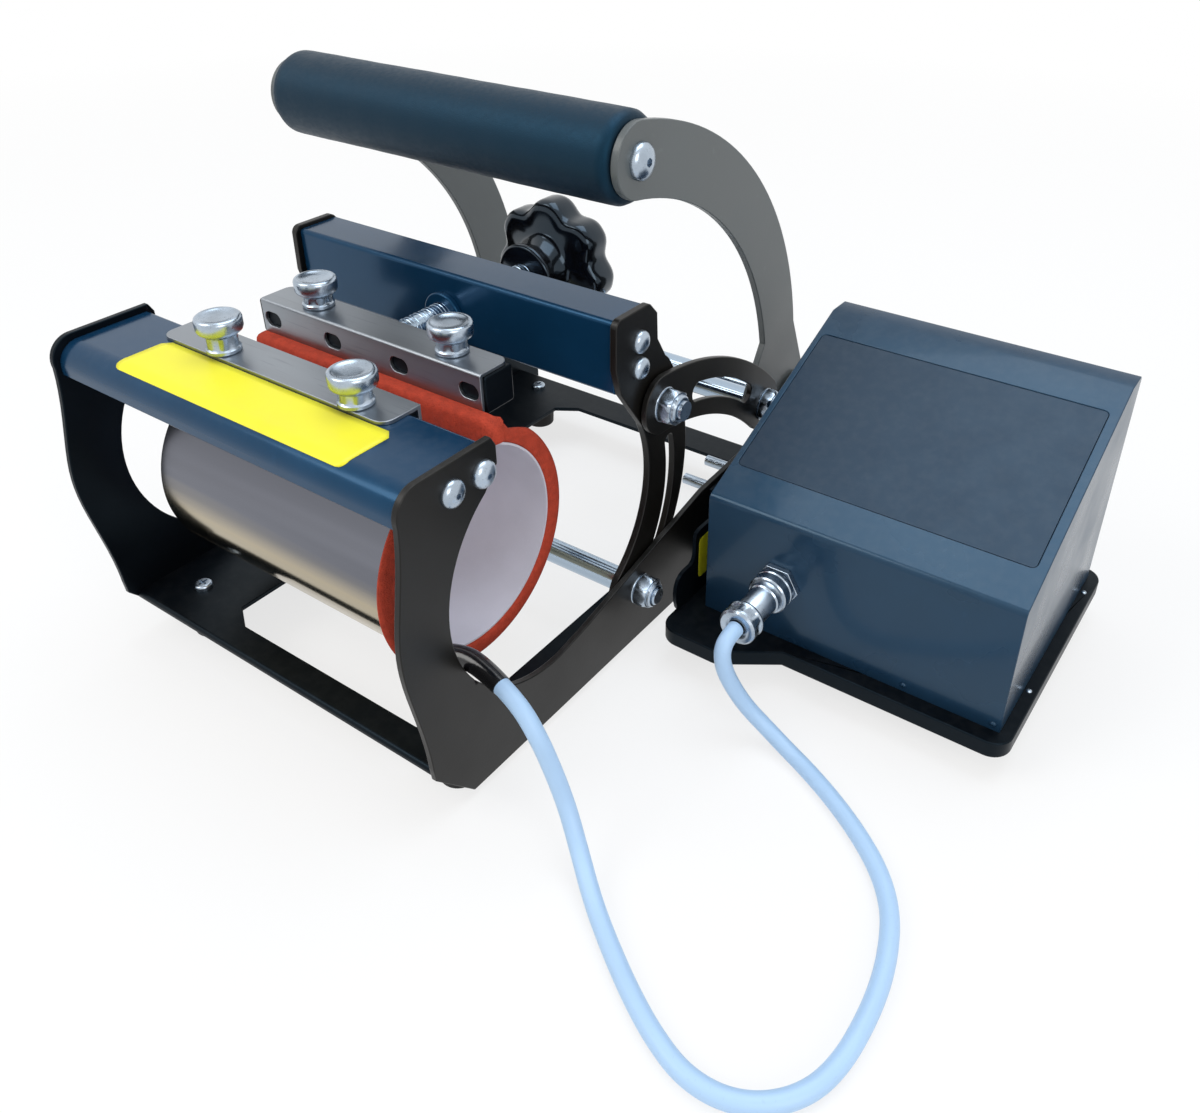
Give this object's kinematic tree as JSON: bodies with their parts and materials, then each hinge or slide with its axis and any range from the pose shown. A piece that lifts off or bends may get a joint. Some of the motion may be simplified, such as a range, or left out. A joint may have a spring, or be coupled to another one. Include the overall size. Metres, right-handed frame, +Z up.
{
  "type": "cylinder heat press",
  "caption": "Mug press: a wrap-around heater in a two-plate frame, closed by a toggle linkage with a grip, with a sloped control box beside it.",
  "frame": {"origin": "on the mug's axis, midway between the two side plates", "axes": "+X along the mug towards the control box, +Y to the back, +Z up"},
  "size_m": [0.3489, 0.2989, 0.223],
  "materials": {
    "black_paint": "satin",
    "blue_paint": "gloss",
    "handle_paint": "satin",
    "polished_steel": "polished",
    "tab_steel": "brushed",
    "zinc": "bright",
    "red_foam": "matt",
    "grey_lining": "satin",
    "grip_rubber": "matt",
    "knob_plastic": "gloss",
    "panel_plastic": "satin",
    "black_rubber": "matt",
    "cable_sleeving": "satin",
    "board_green": "satin",
    "relay_blue": "satin"
  },
  "bodies": {
    "frame": {"side_plate_left": "black_paint", "side_plate_right": "black_paint", "base_pan": "black_paint", "rubber_feet": "black_rubber", "foot_screws": "zinc", "front_bridge": "blue_paint", "bridge_screws": "zinc", "lower_pivot_rod": "zinc", "lower_pivot_nuts": "zinc", "rear_pivot_rod": "zinc", "rear_pivot_nuts": "zinc", "heater_lining": "grey_lining", "heater_foam": "red_foam", "heater_band": "polished_steel", "heater_front_tab": "tab_steel", "box_tray": "black_paint", "tray_feet": "black_rubber", "box_bolts": "zinc", "box_cover": "blue_paint", "display_panel": "panel_plastic", "display_board": "board_green", "power_board": "board_green", "relay": "relay_blue", "power_inlet": "panel_plastic", "switch_frame": "panel_plastic", "fuse_cap": "panel_plastic", "cable_socket": "zinc", "cable_plug": "zinc", "plug_clamp": "zinc", "cable_sleeve": "black_rubber", "heater_cable": "cable_sleeving"},
    "clamp": {"clamp_arm_left": "black_paint", "clamp_arm_right": "black_paint", "rear_beam": "blue_paint", "beam_screws": "zinc", "beam_bush": "zinc"},
    "bar": {"pressure_bar": "black_paint", "heater_rear_angle": "tab_steel"},
    "knob": {"adjusting_screw": "zinc", "star_knob": "knob_plastic"},
    "handle": {"handle_arm_left": "handle_paint", "handle_arm_right": "handle_paint", "handle_cross_rod": "zinc", "cross_rod_nuts": "zinc", "grip_core": "zinc", "handle_grip": "grip_rubber", "grip_bolts": "zinc"},
    "link_left": {"toggle_link_left": "black_paint", "link_bolt_left": "zinc", "link_nut_left": "zinc"},
    "link_right": {"toggle_link_right": "black_paint", "link_bolt_right": "zinc", "link_nut_right": "zinc"},
    "thumb_front_left": {"thumb_screw_front_left": "zinc"},
    "thumb_front_right": {"thumb_screw_front_right": "zinc"},
    "thumb_rear_left": {"thumb_screw_rear_left": "zinc"},
    "thumb_rear_right": {"thumb_screw_rear_right": "zinc"},
    "rocker": {"rocker_button": "panel_plastic"}
  },
  "joints": [
    {"name": "handle_swing", "type": "hinge", "parent": "frame", "child": "handle", "pos_m": [0, 0.199, -0.021], "axis": [-1, 0, 0], "range_deg": [0, 60]},
    {"name": "clamp_swing", "type": "hinge", "parent": "frame", "child": "clamp", "pos_m": [0, 0.065, -0.049], "axis": [-1, 0, 0], "range_deg": [0, 16.3], "deforming": ["heater_band", "heater_foam", "heater_lining"]},
    {"name": "link_left_swing", "type": "hinge", "parent": "handle", "child": "link_left", "pos_m": [0, 0.165, -0.0065], "axis": [1, 0, 0], "range_deg": [0, 79.71]},
    {"name": "link_right_swing", "type": "hinge", "parent": "handle", "child": "link_right", "pos_m": [0, 0.165, -0.0065], "axis": [1, 0, 0], "range_deg": [0, 79.71]},
    {"name": "bar_slide", "type": "slide", "parent": "clamp", "child": "bar", "axis": [0, 1, 0], "range_m": [0, 0.01]},
    {"name": "knob_turn", "type": "hinge", "parent": "bar", "child": "knob", "pos_m": [0, 0.078, 0.055], "axis": [0, 1, 0], "range_deg": [0, 1800]},
    {"name": "thumb_front_left_turn", "type": "hinge", "parent": "frame", "child": "thumb_front_left", "pos_m": [-0.031, -0.023, 0.062], "axis": [0, 0, 1], "range_deg": [0, 1080]},
    {"name": "thumb_front_right_turn", "type": "hinge", "parent": "frame", "child": "thumb_front_right", "pos_m": [0.038, -0.023, 0.062], "axis": [0, 0, 1], "range_deg": [0, 1080]},
    {"name": "thumb_rear_left_turn", "type": "hinge", "parent": "bar", "child": "thumb_rear_left", "pos_m": [-0.037, 0.02575, 0.062], "axis": [0, 0, 1], "range_deg": [0, 1080]},
    {"name": "thumb_rear_right_turn", "type": "hinge", "parent": "bar", "child": "thumb_rear_right", "pos_m": [0.035, 0.02575, 0.062], "axis": [0, 0, 1], "range_deg": [0, 1080]},
    {"name": "rocker_tilt", "type": "hinge", "parent": "frame", "child": "rocker", "pos_m": [0.19, 0.191, -0.03], "axis": [-1, 0, 0], "range_deg": [0, 12]}
  ],
  "couplings": [
    {"joint": "clamp_swing", "follows": "handle_swing", "ratio": 0.27172},
    {"joint": "link_left_swing", "follows": "handle_swing", "ratio": 1.3284},
    {"joint": "link_right_swing", "follows": "handle_swing", "ratio": 1.3284},
    {"joint": "knob_turn", "follows": "bar_slide", "rad_per_m": 3141.6}
  ]
}
